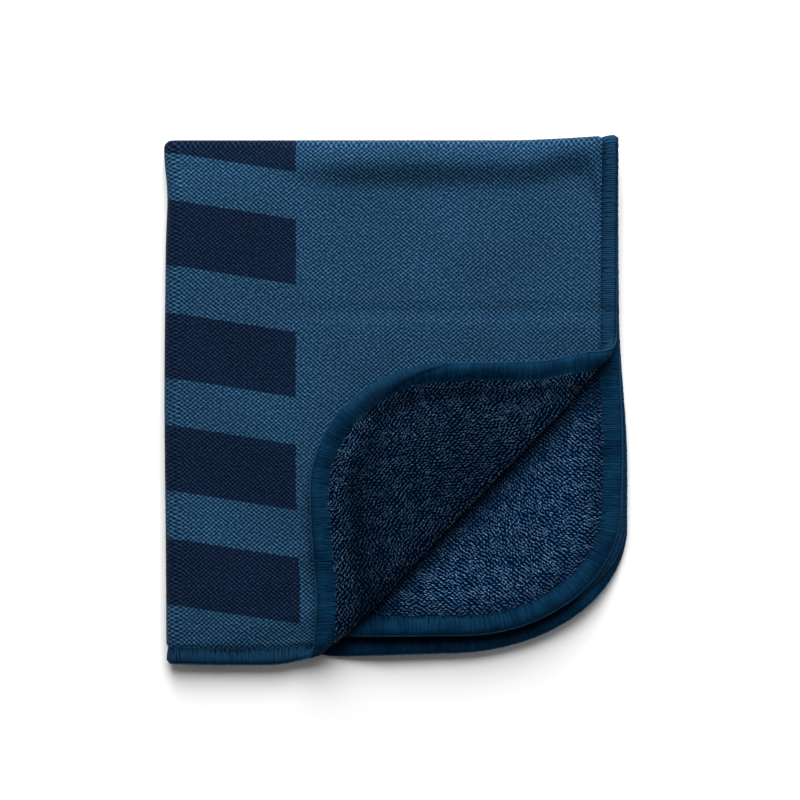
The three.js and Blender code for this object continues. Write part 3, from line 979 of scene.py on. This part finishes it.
def makeThreads(places, directions):
    # all lines of thread, each run with its points, edges, radius, tone and how pale it is
    draw = np.random.default_rng(edging["seed"])
    count, steps = len(places), edging["threadPoints"]
    section = sampled(edging["thread"], steps)
    insets = np.repeat(section[None, :, 0], count, axis=0)
    for end in (0, -1):
        insets[:, end] += draw.normal(0, edging["endSpread"], count)
    heights = np.repeat(section[None, :, 1], count, axis=0)
    inView = openToView(places[:, 0], places[:, 1])[:, None]
    pressed = heights * (edging["covered"] + (1 - edging["covered"]) * inView)
    heights = np.where(heights < edging["coveredFrom"], pressed, heights)
    lines = threadLines(draw, places, directions, insets, heights)
    thick = np.repeat(draw.uniform(*edging["thickEach"], count), steps)
    thick = edging["threadRadius"] * thick * draw.uniform(*edging["thickAlong"], count * steps)
    shade = np.repeat(draw.uniform(0, 1, count), steps)
    face = np.tile(edging["faceShare"] * grown(section[:, 1], *edging["faceFrom"]), count)
    runs = [(lines, threadRuns(count, steps), thick, shade, face)]
    ring = [(i, (i + 1) % count) for i in range(count)]
    for inset, height, radius, wander, tone, pale in edging["chains"]:
        line = chainLine(draw, places, directions, inset, height, wander)
        shade = np.clip(draw.normal(tone, edging["chainSpread"], count), 0, 1)
        runs.append((line, ring, radius, shade, pale))
    runs += lapThreads(draw, places, directions)
    edges, total = [], 0
    for run in runs:
        edges += [(a + total, b + total) for a, b in run[1]]
        total += len(run[0])
    points = np.concatenate([run[0] for run in runs])
    radii, shades, faces = (
        np.concatenate([np.broadcast_to(run[k], len(run[0])) for run in runs]) for k in (2, 3, 4)
    )
    # threads under the lowest layer are pressed flat against what the towel lies on
    points[:, 2] = np.maximum(points[:, 2], radii)
    guide = guideMesh(
        "threadGuide", points, edges,
        {"threadRadius": radii * mm, "threadToneAndHighlight": shades, "threadPaleAndHighlight": faces},
    )
    print("edging:", count, "threads")
    return bakeNodes("edgingThreads", guide, *makeThreadTree(), threadSizes)


stations, inwards = outlineStations(edging["pitch"])
edgingBead = makeBead(stations, inwards)
edgingThreads = makeThreads(stations, inwards)

# The pile has two loops in each cell of the knit.
pile = {
    "rows": (110, 140),  # cells each way from where the folds cross
    "clearOfFolds": (20.0, 15.0), "clearOfEdge": 10.9, "seed": 23,
    "underRoll": 6.0, "beforeRoll": -3.5,
    "drift": 0.225, "driftWaves": 10, "driftLength": (7, 18), "jitter": 0.15,
    "footLift": 0.15, "probe": 0.4,  # foot over the ground, and step that finds its slope
    # the nap: its heading and lean in radians, and swirls by length, shift, and their own sway
    "leanTo": -0.6, "headingSpread": 0.35, "lean": 0.35, "leanSpread": 0.16,
    "swirls": ((1.1, 17, 0.0, 0.6, 23), (0.9, 21, 1.7, 0.8, 31)), "swirlTurn": 0.3, "swirlTone": 0.08,
    # the first width is how far the painted shadow beside the roll reaches; then where the edging tone
    # by the side gives way to that by the near edge, and where and how fast the tone falls towards the
    # side fold
    "rollShadowWidth": 15.0, "sideToNear": (-15.0, 15.0), "slopeAt": 170.0, "slopeLength": 75.0,
}
loopSizes = {
    "Loop Half Width": 0.7, "Loop Height": 1.25, "Yarn Radius": 0.4, "Loop Points": 6, "Yarn Sides": 5,
    "Seed": 23,
}
# a loop's arc in degrees, and how much single loops are stretched
loopShape = {"start": -12.0, "sweep": 204.0, "least": (0.8, 0.85, 0.8), "most": (1.2, 1.15, 1.15)}
# The loops' tone, painted light and shade: one tone for each piece, lower on the turned corner,
# whose nap lies the other way and looks darker in this light; a random spread; painted shade and a
# painted highlight by distance from the edging; painted shadow beside the roll; and a tone that
# falls towards the side fold.
cornerToneAndShade = {
    "nap": 0.38, "spread": 0.22, "napSlope": 0.45, "rollShadow": 0.2,
    "side": ((0.0, 3.0, 5.5, 8.0, 11.0, 16.0), (0.95, 0.85, 0.5, 0.45, 0.7, 1.0)),
    "near": ((0.0, 4.0, 8.0, 12.0, 17.0, 22.0, 30.0), (1.6, 1.7, 1.3, 0.6, 0.5, 0.7, 1.0)),
}
secondToneAndShade = {
    "nap": 1.17, "spread": 0.16, "napSlope": 0.0, "rollShadow": 0.72,
    "side": ((0.0, 3.0, 6.0, 9.0, 12.0), (0.45, 0.53, 0.72, 0.92, 1.0)),
    "near": ((0.0, 3.0, 6.0, 9.0, 12.0), (0.45, 0.53, 0.72, 0.92, 1.0)),
}


def makeLoopTree():
    # Geometry Nodes: one uncut loop of yarn is repeated on each knot of the ground
    made, add, entry = newTree("pileLoops", loopSizes)
    start, sweep = math.radians(loopShape["start"]), math.radians(loopShape["sweep"])
    arc = add(
        "GeometryNodeCurveArc",
        {"Resolution": entry["Loop Points"], "Radius": 1.0, "Start Angle": start, "Sweep Angle": sweep},
    )
    height = entry["Loop Height"]
    size = add("ShaderNodeCombineXYZ", (entry["Loop Half Width"], height, height))
    sized = add("GeometryNodeTransform", {"Geometry": arc, "Scale": size})
    upright = (math.radians(90), 0.0, 0.0)
    stood = add("GeometryNodeTransform", {"Geometry": sized, "Rotation": upright})
    ring = add(
        "GeometryNodeCurvePrimitiveCircle",
        {"Resolution": entry["Yarn Sides"], "Radius": entry["Yarn Radius"]},
    )
    tube = add("GeometryNodeCurveToMesh", {"Curve": stood, "Profile Curve": ring, "Fill Caps": True})
    place = add("ShaderNodeSeparateXYZ", (add("GeometryNodeInputPosition"),))
    rise = add("ShaderNodeMath", (place.outputs[2], height), operation="DIVIDE")
    marked = add(
        "GeometryNodeStoreNamedAttribute", {"Geometry": tube, "Name": "loopRise", "Value": rise},
        data_type="FLOAT", domain="POINT",
    )
    aim = add("GeometryNodeInputNamedAttribute", {"Name": "aim"}, data_type="QUATERNION")
    stretch = add(
        "FunctionNodeRandomValue", {0: loopShape["least"], 1: loopShape["most"], "Seed": entry["Seed"]},
        data_type="FLOAT_VECTOR",
    )
    many = add(
        "GeometryNodeInstanceOnPoints",
        {"Points": entry["Geometry"], "Instance": marked, "Rotation": aim, "Scale": stretch},
    )
    closeTree(add, many, loopYarn)
    return made


def quaternions(axisX, axisY, axisZ):
    # rotation that carries X, Y and Z to three square directions, for many at once
    m = np.stack([axisX, axisY, axisZ], axis=-1)
    w = np.sqrt(np.maximum(0, 1 + m[:, 0, 0] + m[:, 1, 1] + m[:, 2, 2])) / 2
    parts = [w]
    for a, b, c in ((0, 2, 1), (1, 0, 2), (2, 1, 0)):
        signs = [1 if k == a else -1 for k in range(3)]
        square = 1 + sum(sign * m[:, k, k] for k, sign in enumerate(signs))
        parts.append(np.copysign(np.sqrt(np.maximum(0, square)) / 2, m[:, b, c] - m[:, c, b]))
    return np.stack(parts, axis=-1)


def unit(vectors):
    return vectors / np.maximum(np.linalg.norm(vectors, axis=1), 1e-12)[:, None]


def swung(start, end, angle):
    # directions turned by an angle from start towards end
    return start * np.cos(angle)[:, None] + end * np.sin(angle)[:, None]


def loopPlaces(chosen):
    # knots of the knitted ground in the part of the sheet where chosen says the pile shows
    i, j = np.meshgrid(*(np.arange(-many, many + 1) for many in pile["rows"]))
    u = np.concatenate([(i + half).ravel() for half in (0, 0.5)]) * knitLook["cellAcross"]
    v = np.concatenate([(j + half).ravel() for half in (0, 0.5)]) * knitLook["cellAlong"]
    # the rows wander, as the knitted ground is stretched a little unevenly
    draw = np.random.default_rng(pile["seed"] + 1)
    baseU, baseV = u.copy(), v.copy()
    for _ in range(pile["driftWaves"]):
        heading, phase, sway = draw.uniform(0, 2 * math.pi, 3)
        turns = (baseU * math.cos(heading) + baseV * math.sin(heading)) * 2 * math.pi
        wave = pile["drift"] * np.sin(turns / draw.uniform(*pile["driftLength"]) + phase)
        u, v = u + math.cos(sway) * wave, v + math.sin(sway) * wave
    clearU, clearV = pile["clearOfFolds"]
    keep = (u > clearU) & (np.abs(v) > clearV) & chosen(u, v)
    keep = keep & (edgeDistance(u, v) > pile["clearOfEdge"])
    return u[keep], v[keep]


def paintedNapShade(u, v, toneAndShade):
    # painted shade and a painted highlight by distance from the edging, and painted shadow beside the
    # roll
    near = grown(sideRight(v) - u - (v - sideNear(u)), *pile["sideToNear"])
    inner = edgeDistance(u, v) - pile["clearOfEdge"]
    tone = np.interp(inner, *toneAndShade["side"]) * (1 - near) + np.interp(inner, *toneAndShade["near"]) * near
    rollShadow = 1 - smooth(np.abs(overTurn(u, v)[1]) / pile["rollShadowWidth"])
    slope = 1 + toneAndShade["napSlope"] * (u - pile["slopeAt"]) / pile["slopeLength"]
    return tone * slope * (1 - toneAndShade["rollShadow"] * rollShadow)


def makeLoops(name, chosen, toneAndShade):
    # one loop for each knot, set on the ground and leaning with the nap
    draw = np.random.default_rng(pile["seed"])
    u, v = loopPlaces(chosen)
    count = len(u)
    u = u + draw.normal(0, pile["jitter"], count)
    v = v + draw.normal(0, pile["jitter"], count)
    ground, probe = -cloth["groundHalf"], pile["probe"]
    foot = foldedPoints(u, v, ground + pile["footLift"])
    out = unit(foldedPoints(u, v, ground - probe) - foldedPoints(u, v, ground))
    alongU = unit(foldedPoints(u + probe, v, ground) - foldedPoints(u - probe, v, ground))
    alongV = unit(np.cross(out, alongU))
    swirl = 0.0
    for (high, length, shift, sway, swayLength), a, b in zip(pile["swirls"], (u, v), (v, u)):
        swirl = swirl + high * np.sin(a / length + shift + sway * np.sin(b / swayLength))
    heading = pile["leanTo"] + pile["swirlTurn"] * swirl + draw.normal(0, pile["headingSpread"], count)
    side = swung(alongU, alongV, heading)
    lean = pile["lean"] + draw.normal(0, pile["leanSpread"], count)
    up = unit(swung(out, np.cross(out, side), lean))
    depth = np.cross(up, side)
    # each loop's tone: painted shade and light from the piece's tables, and a random spread
    tone = toneAndShade["nap"] * (1 + pile["swirlTone"] * swirl) * paintedNapShade(u, v, toneAndShade)
    tone = tone * np.exp(draw.normal(0, toneAndShade["spread"], count))
    numbers = {"loopHighlightPick": draw.uniform(0, 1, count), "loopToneAndShade": tone}
    guide = guideMesh(name + "Guide", foot, [], numbers)
    layer = guide.data.attributes.new("aim", "QUATERNION", "POINT")
    layer.data.foreach_set("value", quaternions(side, depth, up).astype(np.float32).ravel())
    print(name, count, "loops")
    return bakeNodes(name, guide, *makeLoopTree(), loopSizes)


def onTurnedCorner(u, v):
    return (v < 0) & (overTurn(u, v)[0] > -pile["beforeRoll"])


def onSecondLayer(u, v):
    return (v > 0) & (overTurn(u, v)[1] > -pile["underRoll"])


cornerPile = makeLoops("turnedCornerPile", onTurnedCorner, cornerToneAndShade)
secondPile = makeLoops("secondLayerPile", onSecondLayer, secondToneAndShade)

# what each piece rides on and stands for
for piece in (towelSheet, edgingBead, edgingThreads, cornerPile, secondPile):
    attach(piece, "root")
for piece in (towelSheet, cornerPile, secondPile):
    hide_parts("towel_cloth")
for piece in (edgingBead, edgingThreads):
    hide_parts("towel_edging")

# floor and lights: sizes and places in metres, power in watts
studio = {
    "floorSize": 12.0, "floorDrop": 0.00005, "floor": "#f2f2f2",
    "floorSurface": {"Roughness": 0.9, "Specular IOR Level": 0.1}, "sky": 0.11,
    "lights": (
        ("softLight", 74.0, (1.6, 1.8), (0.0, 1.3, 1.775)),
        ("lowLight", 36.0, (1.3, 0.3), (0.0, 2.04, 0.82)),
        ("rightLight", 11.0, (1.2, 0.4), (2.2, 0.15, 0.7)),
        ("leftLight", 7.0, (1.2, 0.4), (-2.2, 0.15, 0.7)),
    ),
}
view = {
    "pixel": 0.55, "frame": 800,  # mm of the towel's top for each pixel, and pixels across
    "centre": (2.51, -0.26), "level": 18.0, "distance": 3.0, "sensor": 36.0, "clipEnd": 20.0,
}


def makeFloor():
    # Matt white studio board.
    material, add = newMaterial("mattWhiteBoard")
    colour = linearColour(studio["floor"])
    shader = add("ShaderNodeBsdfPrincipled", {"Base Color": colour, **studio["floorSurface"]})
    add("ShaderNodeOutputMaterial", {"Surface": shader})
    half, below = studio["floorSize"] / 2 / mm, -studio["floorDrop"] / mm
    points = [(-half, -half, below), (half, -half, below), (half, half, below), (-half, half, below)]
    floor = meshObject("studioFloor", points, [[0, 1, 2, 3]], [material], False)


def addLight(name, power, size, start):
    # a soft rectangular light that looks at the towel
    lamp = bpy.data.lights.new(name, "AREA")
    lamp.shape, lamp.size, lamp.size_y, lamp.energy = "RECTANGLE", size[0], size[1], power
    made = addObject(name, lamp)
    made.location = start
    made.rotation_euler = Vector(start).to_track_quat("Z", "Y").to_euler()


def makeSky():
    world = bpy.data.worlds.new("studioSky")
    add = clearedTree(world)
    glow = add("ShaderNodeBackground", {"Color": (1.0, 1.0, 1.0, 1.0), "Strength": studio["sky"]})
    add("ShaderNodeOutputWorld", {"Surface": glow})
    scene.world = world


def makeCamera():
    # straight above, far enough away that the sides stay hidden as they do in the photo
    lens = bpy.data.cameras.new("camera")
    lens.sensor_width = view["sensor"]
    lens.lens = view["sensor"] * view["distance"] / (view["pixel"] * view["frame"] * mm)
    lens.clip_end = view["clipEnd"]
    made = addObject("camera", lens)
    x, y = view["centre"]
    made.location = (x * mm, y * mm, view["level"] * mm + view["distance"])
    scene.camera = made


makeFloor()
for light in studio["lights"]:
    addLight(*light)
makeSky()
makeCamera()
scene.view_settings.view_transform = "Standard"
print("studio made")
